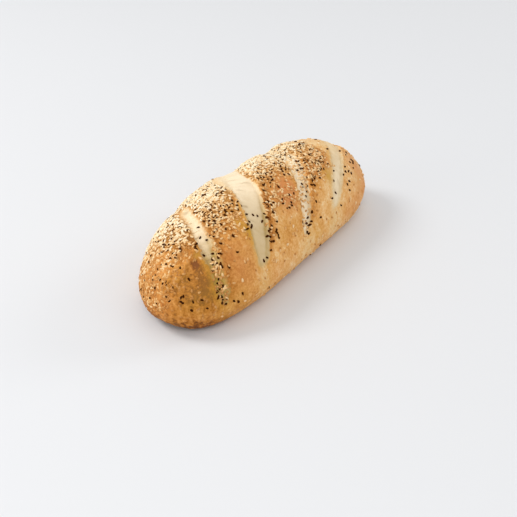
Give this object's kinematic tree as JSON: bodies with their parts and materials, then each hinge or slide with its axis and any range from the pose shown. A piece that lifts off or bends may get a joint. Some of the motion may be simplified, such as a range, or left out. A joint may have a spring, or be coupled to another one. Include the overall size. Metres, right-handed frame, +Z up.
{
  "type": "sesame sourdough loaf",
  "caption": "Long rounded sourdough loaf with diagonal slashes across its browned top and sesame seeds scattered over the crust, resting on a flat sole.",
  "frame": {"origin": "middle of the loaf's bounding box, on the plane it rests on", "axes": "+X along the loaf towards its far end in the picture, -Y towards the side the picture shows, +Z up"},
  "size_m": [0.3504, 0.133, 0.097],
  "materials": {
    "crust": "baked bread crust, matt, golden brown"
  },
  "bodies": {
    "root": {"loaf": "crust"}
  },
  "joints": []
}
